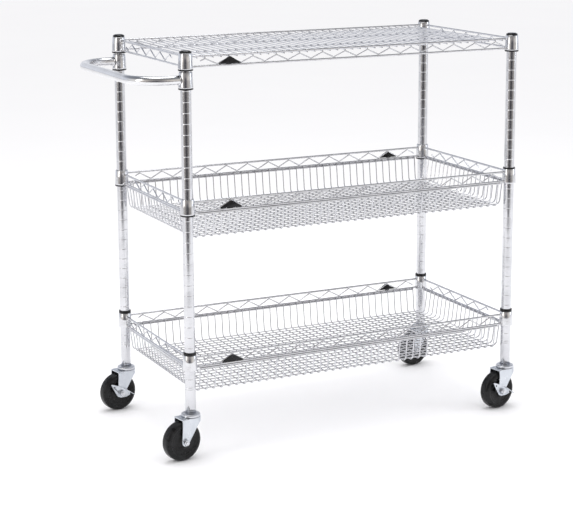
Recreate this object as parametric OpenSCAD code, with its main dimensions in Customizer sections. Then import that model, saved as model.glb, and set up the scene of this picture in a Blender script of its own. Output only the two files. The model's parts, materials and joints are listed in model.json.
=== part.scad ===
// Rolling utility cart: four grooved chromed posts on swivel casters carry a flat wire top shelf,
// two wire baskets and a push handle, all held by wedge collars on split plastic sleeves.

/* [Frame] */
// Distance between post centres, left to right
post_span_x = 889; // [700:1:1200]
// Distance between post centres, front to back
post_span_y = 432; // [350:1:600]
// Length of each post tube
post_length = 861; // [850:1:1100]
// Outside diameter of the posts
post_d = 25.4; // [24:0.1:28]
// Wall thickness of the post tube
post_wall = 1.2; // [1:0.1:2]
// Spacing of the grooves rolled into the posts
groove_pitch = 25.4; // [20:0.1:30]
// Height of the lowest groove above the foot of the post
groove_start = 62; // [40:1:80]
// Width of a groove
groove_w = 1.6; // [1:0.1:3]
// Depth of a groove
groove_depth = 0.4; // [0.2:0.1:0.6]

/* [Tiers] */
// Height of the bottom basket's collars above the foot of the posts
bottom_tier = 108; // [100:1:130]
// Height of the middle basket's collars above the foot of the posts
middle_tier = 483.5; // [400:0.5:560]
// Height of the handle's collars above the foot of the posts
handle_tier = 780; // [700:1:782]
// Height of the top shelf's collars above the foot of the posts
top_tier = 823.5; // [823:0.5:823.5]

/* [Collars and sleeves] */
// Height of a metal corner collar
collar_h = 37; // [34:0.5:37]
// Outside diameter of a collar at its top
collar_top_d = 31.4; // [31:0.1:36]
// Outside diameter of a collar at its foot
collar_foot_d = 35; // [34:0.1:40]
// Wall thickness of a collar
collar_wall = 1.4; // [1:0.1:1.6]
// Height of a sleeve's black rim where it shows below its collar
sleeve_rim = 3.5; // [2:0.1:3.5]
// Height of the sleeve that shows above the bottom basket's collars
sleeve_shoulder = 7; // [4:0.5:12]
// Slot between the two halves of a split sleeve
sleeve_slot = 0.6; // [0.3:0.1:1.5]

/* [Wires] */
// Diameter of the rim wires
rim_d = 5; // [4:0.1:6]
// Distance between the upper and the lower rim wire
rim_gap = 24; // [20:0.5:24]
// Diameter of the zigzag truss wire
truss_d = 3.2; // [2.5:0.1:3.8]
// Diameter of the shelf and basket wires
wire_d = 3; // [2:0.1:3.4]
// Spacing of the shelf and basket wires
wire_pitch = 20.3; // [17:0.1:26]
// Least distance from a post centre to the nearest wire
corner_clear = 23; // [22:0.5:40]
// Diameter of the lengthwise support wires under the top shelf
support_d = 4; // [3:0.1:5]
// Distance of the lengthwise support wires from the middle of the shelf
support_y = 72; // [40:1:110]

/* [Baskets] */
// Depth of a basket from its lower rim wire to its floor
basket_depth = 66; // [50:1:90]
// How far a basket wall leans in from rim to floor
basket_lean = 8; // [4:0.5:10]
// Bend radius where a wall wire turns into the floor
basket_bend_r = 12; // [9:0.5:15]
// Diameter of the second rim wire of a basket
basket_rim_d = 4.5; // [3:0.1:5]

/* [Handle] */
// How far the handle's tube centre stands out from the post centres
handle_reach = 117; // [100:1:180]
// Bend radius of the handle's corners
handle_bend_r = 84; // [50:1:84]
// Outside diameter of the handle tube
handle_d = 21.3; // [16:0.1:24]
// Wall thickness of the handle tube
handle_wall = 1.5; // [1:0.1:2]

/* [Casters] */
// Diameter of a caster wheel
wheel_d = 96; // [86:1:100]
// Width of a caster wheel over its tread
wheel_w = 30; // [24:1:36]
// Distance the axle trails behind the swivel axis
trail = 27; // [22:1:32]
// Height of the foot of the posts above the floor
post_foot = 110; // [110:1:130]
// Thickness of the fork's pressed sheet
fork_t = 2.6; // [2:0.1:3]
// Direction in which the casters trail at rest
caster_turn = 10; // [0:1:20]
// Diameter of the axle bolt
bolt_d = 8; // [6:1:10]
// Distance across the flats of the axle nut
nut_af = 13; // [11:0.5:15]

/* [Hidden] */
$fn = 64;

// Gap left at every weld, so that neighbouring pieces meet without overlapping
weld_gap = 0.05;
// Gap between a sleeve and the post and collar that it is wedged between
wedge_gap = 0.1;
// Radial clearance of a pin that turns in its hole
running_gap = 0.05;
// Clearance between faces that move past each other
moving_gap = 0.3;

// A bent wire swells this much in its bends, and its straight lengths lap this far into them
bend_swell = 0.03;
bend_lap = 0.2;

half_x = post_span_x / 2;
half_y = post_span_y / 2;

// Rim wires sit this high above the foot of their collars
lower_rim_up = 4.5;
upper_rim_up = lower_rim_up + rim_gap;

// A mat wire sits under the upper rim wire, and a support wire under the mat
mat_up = upper_rim_up - rim_d / 2 - wire_d / 2 - weld_gap;
support_up = mat_up - wire_d / 2 - support_d / 2 - weld_gap;

// Basket heights measured from the foot of the collars
second_rim_up = lower_rim_up - rim_d / 2 - basket_rim_d / 2 - weld_gap;
floor_up = lower_rim_up - basket_depth;
wall_top_up = lower_rim_up + 1;
wall_in = rim_d / 2 + wire_d / 2 + weld_gap;
wall_lean_angle = atan(basket_lean / (wall_top_up - floor_up));
wall_setback = basket_bend_r * tan((90 - wall_lean_angle) / 2);

// Even spacing of the wires between the posts
wall_foot = wall_in + basket_lean + wall_setback;
wire_inset = max(corner_clear, wall_foot);
cross_gaps = floor((post_span_x - 2 * wire_inset) / wire_pitch);
long_gaps = floor((post_span_y - 2 * wire_inset) / wire_pitch);
cross_x = [for (i = [0:cross_gaps]) (i - cross_gaps / 2) * wire_pitch];
long_y = [for (i = [0:long_gaps]) (i - long_gaps / 2) * wire_pitch];

// The truss has one peak for every third wire, and stops short of the collars
truss_pitch = 3 * wire_pitch;
truss_end_x = 45;
truss_end_y = 75;
truss_bend_r = 3;
truss_stub = 12;
peaks_x = 1 + floor((post_span_x - 2 * truss_end_x) / truss_pitch);
peaks_y = 1 + floor((post_span_y - 2 * truss_end_y) / truss_pitch);

// Badges clip over the second peak of each long side
badge_w = 57;
badge_h = 17;
badge_t = 2.4;
badge_corner_r = 2;
badge_x = -(peaks_x - 1) / 2 * truss_pitch + truss_pitch;

// Caster heights above the floor
axle_z = wheel_d / 2;
cup_h = 6.6;
cup_d = 46;
cup_z = post_foot - 5;
cup_seat_d = 31;
plate_top = cup_z - 1;
plate_z = plate_top - fork_t;
ball_d = 4;
ball_count = 18;
ball_circle_d = 34;
ball_z = plate_top + moving_gap + ball_d / 2;
kingpin_d = 12;
kingpin_head_d = 20;
stem_d = 11;
stem_length = 32;
insert_length = 30;
fork_gap = wheel_w + 4;
fork_w = fork_gap + 2 * fork_t;
fork_nose_r = 23.6;
fork_tip_r = 9.5;
fork_back = -trail - 7;
// The legs end a little behind where their outer faces would meet the round nose
fork_front = sqrt(pow(fork_nose_r, 2) - pow(fork_w / 2, 2)) - 0.6;
fork_edge_z = plate_z - 10;
axle_tube_d = 12;
nut_h = 6.5;
bolt_head_h = 5.3;
bolt_tail = 1.6;
lever_t = 1.8;
lever_rim_h = 3.4;
lever_y = fork_w / 2 + moving_gap;

// The origin lies on the floor under the middle of the whole cart, handle and casters included
side_reach_left = half_x + handle_reach + handle_d / 2;
side_reach_right = half_x + fork_nose_r;
bolt_reach = lever_y + lever_t + 0.2 + nut_h + bolt_tail;
side_reach_front = half_y + trail * sin(caster_turn) + bolt_reach * cos(caster_turn)
  + (bolt_d / 2 - 0.8) * sin(caster_turn);
side_reach_back = half_y + fork_nose_r;
shift_x = (side_reach_left - side_reach_right) / 2;
shift_y = (side_reach_front - side_reach_back) / 2;

corners = [[-1, -1], [1, -1], [-1, 1], [1, 1]];

module in_cart_frame() translate([shift_x, shift_y, post_foot]) children();

module at_corner(c) translate([c[0] * half_x, c[1] * half_y, 0]) children();

// A straight round wire from one point to another
module rod(from, to, d) {
  v = to - from;
  flat = norm([v[0], v[1]]);
  translate(from)
    rotate([0, atan2(flat, v[2]), atan2(v[1], v[0])])
      cylinder(h = norm(v), d = d);
}

// A bend of a round wire in the XY plane: it starts at p on heading a and turns left by turn
module bend(p, a, turn, r, d) {
  side = turn > 0 ? 1 : -1;
  centre = p + side * r * [-sin(a), cos(a)];
  start = turn > 0 ? a - 90 : a + 90 + turn;
  translate([centre[0], centre[1], 0])
    rotate([0, 0, start])
      rotate_extrude(angle = abs(turn))
        translate([r, 0])
          circle(d = d + 2 * bend_swell);
}

function heading(p, q) = atan2(q[1] - p[1], q[0] - p[0]);

function wrap(a) = a > 180 ? a - 360 : a < -180 ? a + 360 : a;

function turn_at(pts, i) = wrap(heading(pts[i], pts[i + 1]) - heading(pts[i - 1], pts[i]));

function setback(pts, i, r) =
  i == 0 || i == len(pts) - 1 ? 0 : r * tan(abs(turn_at(pts, i)) / 2);

// A round wire in the XY plane through the points pts, with every corner bent to radius r
module bent_wire(pts, r, d) {
  for (i = [0:len(pts) - 2]) {
    a = heading(pts[i], pts[i + 1]);
    ahead = [cos(a), sin(a)];
    from = pts[i] + ahead * setback(pts, i, r);
    to = pts[i + 1] - ahead * setback(pts, i + 1, r);
    lap_a = i > 0 ? bend_lap : 0;
    lap_b = i < len(pts) - 2 ? bend_lap : 0;
    rod(
      [from[0] - ahead[0] * lap_a, from[1] - ahead[1] * lap_a, 0],
      [to[0] + ahead[0] * lap_b, to[1] + ahead[1] * lap_b, 0],
      d
    );
    if (i < len(pts) - 2)
      bend(to, a, turn_at(pts, i + 1), r, d);
  }
}

// ---- Posts, caps and foot inserts ----

grooves = floor((post_length - groove_start - 10) / groove_pitch);
groove_heights = concat(
  [groove_start, groove_start + 5],
  [for (i = [1:grooves]) groove_start + i * groove_pitch]
);

module post(c) {
  r = post_d / 2;
  right_side = [
    for (z = groove_heights)
      each [
        [r, z - groove_w / 2],
        [r - groove_depth, z - groove_w / 4],
        [r - groove_depth, z + groove_w / 4],
        [r, z + groove_w / 2]
      ]
  ];
  color("gainsboro")
    in_cart_frame()
      at_corner(c)
        rotate_extrude()
          polygon(concat(
            [[r - post_wall, 0], [r, 0]],
            right_side,
            [[r, post_length], [r - post_wall, post_length]]
          ));
}

cap_h = 6;
cap_d = 29;
cap_top_d = 19;
cap_edge = 2;
plug_depth = 14;

module post_caps() {
  color("black")
    in_cart_frame()
      for (c = corners)
        at_corner(c)
          translate([0, 0, post_length])
            rotate_extrude()
              polygon([
                [0, -plug_depth],
                [post_d / 2 - post_wall - 1, -plug_depth],
                [post_d / 2 - post_wall - wedge_gap, -plug_depth + 2],
                [post_d / 2 - post_wall - wedge_gap, 0],
                [cap_d / 2, 0],
                [cap_d / 2, cap_edge],
                [cap_d / 2 - 1.5, cap_edge + 1.8],
                [cap_top_d / 2, cap_h - 0.6],
                [0, cap_h]
              ]);
}

module post_inserts() {
  color("silver")
    in_cart_frame()
      for (c = corners)
        at_corner(c)
          difference() {
            cylinder(h = insert_length, d = post_d - 2 * post_wall - 2 * wedge_gap);
            translate([0, 0, -1])
              cylinder(h = insert_length + 2, d = stem_d + 2 * wedge_gap);
          }
}

// ---- Collars and the split sleeves inside them ----

function collar_r(up) = (collar_foot_d + (collar_top_d - collar_foot_d) * up / collar_h) / 2;

module collar(c, tier) {
  in_cart_frame()
    at_corner(c)
      translate([0, 0, tier])
        difference() {
          cylinder(h = collar_h, r1 = collar_r(0), r2 = collar_r(collar_h));
          translate([0, 0, -1])
            cylinder(
              h = collar_h + 2,
              r1 = collar_r(-1) - collar_wall,
              r2 = collar_r(collar_h + 1) - collar_wall
            );
        }
}

// One sleeve: a thin cone split lengthwise, with a rim below its collar, above it, or both
module sleeve(c, tier, below, above) {
  bore = post_d / 2 + wedge_gap;
  in_cart_frame()
    at_corner(c)
      translate([0, 0, tier])
        difference() {
          rotate_extrude()
            polygon(concat(
              below > 0
                ? [[bore, -below], [collar_r(0) + 0.1, -below], [collar_r(0) + 0.3, -weld_gap],
                   [collar_r(0) - collar_wall - wedge_gap, -weld_gap]]
                : [[bore, 0], [collar_r(0) - collar_wall - wedge_gap, 0]],
              above > 0
                ? [[collar_r(collar_h) - collar_wall - wedge_gap, collar_h + weld_gap],
                   [collar_r(collar_h), collar_h + weld_gap],
                   [collar_r(collar_h) - 0.6, collar_h + above], [bore, collar_h + above]]
                : [[collar_r(collar_h) - collar_wall - wedge_gap, collar_h], [bore, collar_h]]
            ));
          translate([-collar_foot_d, -sleeve_slot / 2, -collar_h])
            cube([2 * collar_foot_d, sleeve_slot, 3 * collar_h]);
        }
}

module split_sleeves() {
  color("black") {
    for (c = corners) {
      sleeve(c, bottom_tier, 0, sleeve_shoulder);
      // The front right sleeve of the middle basket sits high in its collar
      if (c == [1, -1])
        sleeve(c, middle_tier, 0, sleeve_rim);
      else
        sleeve(c, middle_tier, sleeve_rim, 0);
      sleeve(c, top_tier, sleeve_rim, 0);
    }
    for (side = [-1, 1])
      sleeve([-1, side], handle_tier, sleeve_rim, 0);
  }
}

module collars(tier) {
  color("lightgray")
    for (c = corners)
      collar(c, tier);
}

// ---- Rim wires and trusses, alike on all three tiers ----

// Two wires along each side, from collar to collar
module rim_wires(tier) {
  color("silver")
    in_cart_frame()
      for (up = [lower_rim_up, upper_rim_up]) {
        z = tier + up;
        reach_in = collar_r(up + rim_d / 2) - 0.05;
        for (side = [-1, 1]) {
          rod([-half_x + reach_in, side * half_y, z], [half_x - reach_in, side * half_y, z], rim_d);
          rod([side * half_x, -half_y + reach_in, z], [side * half_x, half_y - reach_in, z], rim_d);
        }
      }
}

truss_low = rim_d / 2 + truss_d / 2 + weld_gap;
truss_high = rim_gap - truss_low;
half_pitch = truss_pitch / 2;
// The corner points stand a little outside the bends that round them
truss_over = truss_bend_r * (1 / cos(atan((truss_high - truss_low) / half_pitch)) - 1);

// The tail of a zigzag after its last peak at x: a short stub, or on past one more valley
function zigzag_tail(x, stub, low, high, drop) =
  stub < half_pitch
    ? [[x + stub, high - drop * stub]]
    : [[x + half_pitch, low], [x + stub, low + drop * (stub - half_pitch)]];

// Corner points of a zigzag with its first peak at x = 0
function zigzag(peaks, stub_a, stub_b, peak_z) =
  let (
    low = truss_low - truss_over,
    high = peak_z + truss_over,
    drop = (high - low) / half_pitch
  )
  concat(
    [[-stub_a, high - drop * stub_a], [0, high]],
    [for (i = [1:peaks - 1]) each [[(i - 0.5) * truss_pitch, low], [i * truss_pitch, high]]],
    zigzag_tail((peaks - 1) * truss_pitch, stub_b, low, high, drop)
  );

module truss(peaks, stub_a, stub_b, peak_z) {
  translate([-(peaks - 1) / 2 * truss_pitch, 0, 0])
    rotate([90, 0, 0])
      bent_wire(zigzag(peaks, stub_a, stub_b, peak_z), truss_bend_r, truss_d);
}

// The long sides' peaks may be set lower, where the wires of the top mat lie over them
module truss_wires(tier, long_peak_z) {
  color("silver")
    in_cart_frame()
      translate([0, 0, tier + lower_rim_up])
        for (side = [-1, 1]) {
          translate([0, side * half_y, 0])
            truss(peaks_x, truss_stub, truss_stub * 1.8, long_peak_z);
          translate([side * half_x, 0, 0])
            rotate([0, 0, 90])
              truss(peaks_y, truss_stub, half_pitch + truss_stub, truss_high);
        }
}

// ---- Badge plates, blank, clipped over a truss peak of each long side ----

module badge(side, tier) {
  outer = half_y + rim_d / 2 + weld_gap;
  corner = badge_corner_r;
  in_cart_frame()
    rotate([0, 0, side > 0 ? 180 : 0])
      translate([badge_x, -outer, tier + lower_rim_up + rim_d / 2 + 0.5])
        rotate([90, 0, 0]) {
          linear_extrude(badge_t)
            polygon([
              [-badge_w / 2 + corner, 0],
              [badge_w / 2 - corner, 0],
              [badge_w / 2, corner * 0.6],
              [corner * 2, badge_h - corner * 0.4],
              [corner, badge_h],
              [-corner, badge_h],
              [-corner * 2, badge_h - corner * 0.4],
              [-badge_w / 2, corner * 0.6]
            ]);
          // A boss on the back rests on the lower rim wire, under the truss peak
          translate([-6, 0, -outer + half_y - truss_d / 2])
            cube([12, 6, outer - half_y + truss_d / 2 + 0.5]);
        }
}

module badge_plates() {
  color("black") {
    for (tier = [bottom_tier, middle_tier, top_tier])
      badge(-1, tier);
    for (tier = [bottom_tier, middle_tier])
      badge(1, tier);
  }
}

// ---- Top shelf: a flat mat of cross wires on lengthwise support wires ----

module top_mat_wires() {
  z = top_tier + mat_up;
  reach = half_y + 0.8;
  color("silver")
    in_cart_frame()
      for (x = cross_x)
        rod([x, -reach, z], [x, reach, z], wire_d);
}

module top_support_wires() {
  z = top_tier + support_up;
  reach = max(cross_x) + 6;
  color("silver")
    in_cart_frame()
      for (side = [-1, 1])
        rod([-reach, side * support_y, z], [reach, side * support_y, z], support_d);
}

// ---- Baskets: a floor grid whose wires turn up into four leaning walls ----

// The second rim wire lies close under the lower one and stops short of the collars
module basket_rims(tier) {
  z = tier + second_rim_up;
  x_end = max(cross_x) + wire_d;
  y_end = max(long_y) + wire_d;
  color("silver")
    in_cart_frame()
      for (side = [-1, 1]) {
        rod([-x_end, side * half_y, z], [x_end, side * half_y, z], basket_rim_d);
        rod([side * half_x, -y_end, z], [side * half_x, y_end, z], basket_rim_d);
      }
}

// A wall wire in the XY plane: x runs inward from the rim, y is height
module wall_wire(floor_z) {
  bent_wire(
    [[wall_in, wall_top_up], [wall_in + basket_lean, floor_z], [wall_foot + 1, floor_z]],
    basket_bend_r,
    wire_d
  );
}

long_floor_up = floor_up + wire_d + weld_gap;

module floor_cross_wires(tier) {
  reach = half_y - wall_foot - 1 - weld_gap;
  z = tier + floor_up;
  color("silver")
    in_cart_frame()
      for (x = cross_x)
        rod([x, -reach, z], [x, reach, z], wire_d);
}

module floor_long_wires(tier) {
  reach = half_x - wall_foot - 1 - weld_gap;
  z = tier + long_floor_up;
  color("silver")
    in_cart_frame()
      for (y = long_y)
        rod([-reach, y, z], [reach, y, z], wire_d);
}

module long_walls(tier) {
  color("silver")
    in_cart_frame()
      translate([0, 0, tier])
        for (x = cross_x)
          for (side = [-1, 1])
            translate([x, side * half_y, 0])
              rotate([0, 0, -side * 90])
                rotate([90, 0, 0])
                  wall_wire(floor_up);
}

module end_walls(tier) {
  color("silver")
    in_cart_frame()
      translate([0, 0, tier])
        for (y = long_y)
          for (side = [-1, 1])
            translate([side * half_x, y, 0])
              rotate([0, 0, side > 0 ? 180 : 0])
                rotate([90, 0, 0])
                  wall_wire(long_floor_up);
}

// ---- Push handle: a bent tube welded to two collars on the left posts ----

handle_up = handle_tier + collar_h / 2 + 0.5;

module handle_path(d) {
  bent_wire(
    [[0, -half_y], [-handle_reach, -half_y], [-handle_reach, half_y], [0, half_y]],
    handle_bend_r,
    d
  );
}

module handle_bar() {
  color("gainsboro")
    in_cart_frame()
      translate([-half_x, 0, handle_up])
        difference() {
          handle_path(handle_d);
          handle_path(handle_d - 2 * handle_wall);
          for (side = [-1, 1])
            translate([0, side * half_y, handle_tier - handle_up])
              cylinder(
                h = collar_h,
                r1 = collar_r(0) + weld_gap,
                r2 = collar_r(collar_h) + weld_gap
              );
        }
}

module handle_collars() {
  color("gainsboro")
    for (side = [-1, 1])
      collar([-1, side], handle_tier);
}

// ---- Casters ----

// Caster frame: the swivel axis is Z, the floor is z = 0 and the wheel trails towards -X
module in_caster_frame(c) {
  translate([shift_x + c[0] * half_x, shift_y + c[1] * half_y, 0])
    rotate([0, 0, caster_turn])
      children();
}

module on_axle() translate([-trail, 0, axle_z]) rotate([90, 0, 0]) children();

// Stem, upper raceway cup and kingpin of each caster, riveted into one
module caster_stems() {
  cup_r = cup_d / 2;
  seat_r = cup_seat_d / 2;
  race_top = ball_z + ball_d / 2 + weld_gap;
  edge = 2.4;
  color("silver")
    for (c = corners)
      in_caster_frame(c)
        rotate_extrude()
          polygon([
            [0, plate_z - moving_gap - 2.6],
            [kingpin_head_d / 2 - 1.5, plate_z - moving_gap - 2.6],
            [kingpin_head_d / 2, plate_z - moving_gap - 1],
            [kingpin_head_d / 2, plate_z - moving_gap],
            [kingpin_d / 2, plate_z - moving_gap],
            [kingpin_d / 2, plate_top + moving_gap],
            [ball_circle_d / 2 - ball_d / 2 - 0.5, plate_top + moving_gap + 0.7],
            [ball_circle_d / 2 - ball_d / 2 - 0.5, race_top],
            [ball_circle_d / 2 + ball_d / 2 + 0.5, race_top],
            [ball_circle_d / 2 + ball_d / 2 + 0.5, cup_z],
            [cup_r, cup_z],
            [cup_r, cup_z + cup_h - edge],
            [cup_r - 0.8, cup_z + cup_h - 0.7],
            [cup_r - edge, cup_z + cup_h],
            [seat_r + 1, cup_z + cup_h],
            [seat_r, post_foot],
            [seat_r, post_foot - weld_gap],
            [stem_d / 2, post_foot - weld_gap],
            [stem_d / 2, post_foot + stem_length - 1.5],
            [stem_d / 2 - 1.5, post_foot + stem_length],
            [0, post_foot + stem_length]
          ]);
}

module swivel_balls() {
  color("silver")
    for (c = corners)
      in_caster_frame(c)
        for (i = [0:ball_count - 1])
          rotate([0, 0, i * 360 / ball_count])
            translate([ball_circle_d / 2, 0, ball_z])
              sphere(d = ball_d);
}

// Where the line from p touches the circle of radius r round c, on the left or right of it
function touch(p, c, r, side) =
  let (d = norm(p - c), base = atan2(p[1] - c[1], p[0] - c[0]), a = base + side * acos(r / d))
  c + r * [cos(a), sin(a)];

axle_at = [-trail, axle_z];
leg_back_top = [fork_back, plate_z];
leg_front_top = [fork_front, fork_edge_z];

module fork_leg_outline() {
  polygon([
    axle_at,
    touch(leg_front_top, axle_at, fork_tip_r, -1),
    leg_front_top,
    [fork_front, plate_z],
    leg_back_top,
    touch(leg_back_top, axle_at, fork_tip_r, 1)
  ]);
  translate(axle_at)
    circle(r = fork_tip_r);
}

module fork(c) {
  nose_in = fork_nose_r - fork_t;
  skirt_h = plate_top - fork_edge_z;
  color("silver")
    in_caster_frame(c)
      difference() {
        union() {
          // Top plate with its round raceway nose
          translate([0, 0, plate_z])
            cylinder(h = fork_t, r = fork_nose_r);
          translate([fork_back, -fork_w / 2, plate_z])
            cube([-fork_back, fork_w, fork_t]);
          // Side legs that taper down to the axle
          for (side = [-1, 1])
            translate([0, side * (fork_w - fork_t) / 2 + fork_t / 2, 0])
              rotate([90, 0, 0])
                linear_extrude(fork_t)
                  fork_leg_outline();
          // Skirt that closes the nose between the legs
          difference() {
            translate([0, 0, fork_edge_z])
              cylinder(h = skirt_h - fork_t / 2, r = fork_nose_r);
            translate([0, 0, fork_edge_z - 1])
              cylinder(h = skirt_h + 2, r = nose_in);
            translate([fork_front - 1 - 2 * fork_nose_r, -fork_w, fork_edge_z - 1])
              cube([2 * fork_nose_r, 2 * fork_w, skirt_h + 2]);
          }
        }
        translate([0, 0, plate_z - 1])
          cylinder(h = fork_t + 2, d = kingpin_d + 2 * running_gap);
        translate([0, fork_w, 0])
          on_axle()
            cylinder(h = 2 * fork_w, d = bolt_d + 2 * wedge_gap);
      }
}

hub_w = fork_gap - 2 * moving_gap;
hub_d = 30;
recess_r1 = 18;
recess_r2 = 37;
recess_depth = 2;
tread_r = 9;

// The wheel's outline from hub to tread, with a stepped ring sunk into each face
module wheel_outline() {
  r = wheel_d / 2;
  bore_r = axle_tube_d / 2 + running_gap;
  half_w = wheel_w / 2;
  half = [
    [bore_r, hub_w / 2],
    [hub_d / 2 - 1, hub_w / 2],
    [hub_d / 2, hub_w / 2 - 1],
    [recess_r1, half_w - recess_depth],
    [recess_r2 - 7, half_w - recess_depth],
    [recess_r2 - 6, half_w - recess_depth / 2],
    [recess_r2 - 1, half_w - recess_depth / 2],
    [recess_r2, half_w],
    [r, half_w]
  ];
  difference() {
    polygon(concat(half, [for (i = [len(half) - 1:-1:0]) [half[i][0], -half[i][1]]]));
    for (side = [-1, 1])
      translate([r - tread_r, side * (half_w - tread_r)])
        difference() {
          translate([0, side > 0 ? 0 : -2 * tread_r])
            square(2 * tread_r);
          circle(r = tread_r);
        }
  }
}

module wheel(c) {
  color([0.1, 0.1, 0.11])
    in_caster_frame(c)
      on_axle()
        rotate_extrude()
          wheel_outline();
}

module axle_tube(c) {
  color("silver")
    in_caster_frame(c)
      on_axle()
        translate([0, 0, -fork_gap / 2 + weld_gap])
          difference() {
            cylinder(h = fork_gap - 2 * weld_gap, d = axle_tube_d);
            translate([0, 0, -1])
              cylinder(h = fork_gap + 2, d = bolt_d + 2 * wedge_gap);
          }
}

// The bolt's head is at the back; on a braked caster the lever sits under the nut
module axle_bolt(c, grip) {
  face = fork_w / 2 + weld_gap;
  tip = grip + nut_h + bolt_tail;
  color("silver")
    in_caster_frame(c)
      on_axle() {
        translate([0, 0, -face - bolt_head_h])
          cylinder(h = bolt_head_h, d = nut_af / cos(30), $fn = 6);
        translate([0, 0, -face])
          cylinder(h = face + tip - 0.8, d = bolt_d);
        translate([0, 0, tip - 0.8])
          cylinder(h = 0.8, d1 = bolt_d, d2 = bolt_d - 1.6);
      }
}

module axle_nut(c, grip) {
  color("silver")
    in_caster_frame(c)
      on_axle()
        translate([0, 0, grip])
          difference() {
            intersection() {
              cylinder(h = nut_h, d = nut_af / cos(30), $fn = 6);
              cylinder(h = nut_h, d1 = nut_af * 1.5, d2 = nut_af);
            }
            translate([0, 0, -1])
              cylinder(h = nut_h + 2, d = bolt_d + 2 * weld_gap);
          }
}

plain_grip = fork_w / 2 + weld_gap;
brake_grip = lever_y + lever_t + 0.2;

// Side view of the brake lever round its pivot: tip at the upper left, pedal at the right
lever_outline = [
  [-32, 27], [-28, 27.5], [-2, 16.5], [11, 9.5], [23, -1], [23, -8.5],
  [12, -11.5], [-4, -11.5], [-13, -7.5], [-24, 11]
];
lever_tooth = [-20.5, 17.5];
tooth_w = 5;
pedal_from = [9, 10.5];
pedal_to = [36, -9];
pedal_w = 9;

module brake_lever(c) {
  slope = atan2(pedal_to[1] - pedal_from[1], pedal_to[0] - pedal_from[0]);
  color("silver")
    in_caster_frame(c)
      on_axle()
        translate([0, 0, lever_y])
          difference() {
            union() {
              linear_extrude(lever_t)
                polygon(lever_outline);
              // Raised rim of the pressed dish
              linear_extrude(lever_rim_h)
                difference() {
                  polygon(lever_outline);
                  scale(0.84)
                    polygon(lever_outline);
                }
              // Pedal: a tab folded outward along the lever's upper right edge
              translate([pedal_from[0], pedal_from[1], 0])
                rotate([0, 0, slope])
                  translate([0, -1.6, 0])
                    cube([norm(pedal_to - pedal_from), 1.6, pedal_w]);
              // Tooth lanced out of the plate and bent in towards the wheel
              translate([lever_tooth[0] + tooth_w / 2 - 1.2, lever_tooth[1] - tooth_w / 2, -3])
                cube([1.2, tooth_w, 3 + lever_t]);
            }
            translate([0, 0, -1])
              cylinder(h = lever_rim_h + 2, d = bolt_d + 2 * running_gap);
            translate([lever_tooth[0] - tooth_w / 2, lever_tooth[1] - tooth_w / 2, -1])
              cube([tooth_w - 1.2, tooth_w, lever_t + 2]);
          }
}

front_left = corners[0];
front_right = corners[1];
back_left = corners[2];
back_right = corners[3];

post(front_left);  // post_front_left
post(front_right);  // post_front_right
post(back_left);  // post_back_left
post(back_right);  // post_back_right
post_caps();
post_inserts();
split_sleeves();
badge_plates();
handle_bar();
handle_collars();
collars(top_tier);  // top_collars
rim_wires(top_tier);  // top_rim_wires
truss_wires(top_tier, truss_high - wire_d - weld_gap);  // top_truss_wires
top_mat_wires();
top_support_wires();
collars(middle_tier);  // middle_collars
rim_wires(middle_tier);  // middle_rim_wires
truss_wires(middle_tier, truss_high);  // middle_truss_wires
basket_rims(middle_tier);  // middle_basket_rims
floor_cross_wires(middle_tier);  // middle_floor_cross_wires
floor_long_wires(middle_tier);  // middle_floor_long_wires
long_walls(middle_tier);  // middle_long_walls
end_walls(middle_tier);  // middle_end_walls
collars(bottom_tier);  // bottom_collars
rim_wires(bottom_tier);  // bottom_rim_wires
truss_wires(bottom_tier, truss_high);  // bottom_truss_wires
basket_rims(bottom_tier);  // bottom_basket_rims
floor_cross_wires(bottom_tier);  // bottom_floor_cross_wires
floor_long_wires(bottom_tier);  // bottom_floor_long_wires
long_walls(bottom_tier);  // bottom_long_walls
end_walls(bottom_tier);  // bottom_end_walls
caster_stems();
swivel_balls();
fork(front_left);  // front_left_fork
axle_tube(front_left);  // front_left_axle_tube
axle_bolt(front_left, plain_grip);  // front_left_axle_bolt
axle_nut(front_left, plain_grip);  // front_left_axle_nut
wheel(front_left);  // front_left_wheel
fork(front_right);  // front_right_fork
axle_tube(front_right);  // front_right_axle_tube
axle_bolt(front_right, brake_grip);  // front_right_axle_bolt
axle_nut(front_right, brake_grip);  // front_right_axle_nut
wheel(front_right);  // front_right_wheel
brake_lever(front_right);  // front_right_brake_lever
fork(back_left);  // back_left_fork
axle_tube(back_left);  // back_left_axle_tube
axle_bolt(back_left, brake_grip);  // back_left_axle_bolt
axle_nut(back_left, brake_grip);  // back_left_axle_nut
wheel(back_left);  // back_left_wheel
brake_lever(back_left);  // back_left_brake_lever
fork(back_right);  // back_right_fork
axle_tube(back_right);  // back_right_axle_tube
axle_bolt(back_right, plain_grip);  // back_right_axle_bolt
axle_nut(back_right, plain_grip);  // back_right_axle_nut
wheel(back_right);  // back_right_wheel
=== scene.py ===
import json
import math

import bmesh
import bpy
from mathutils import Matrix, Vector


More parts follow.
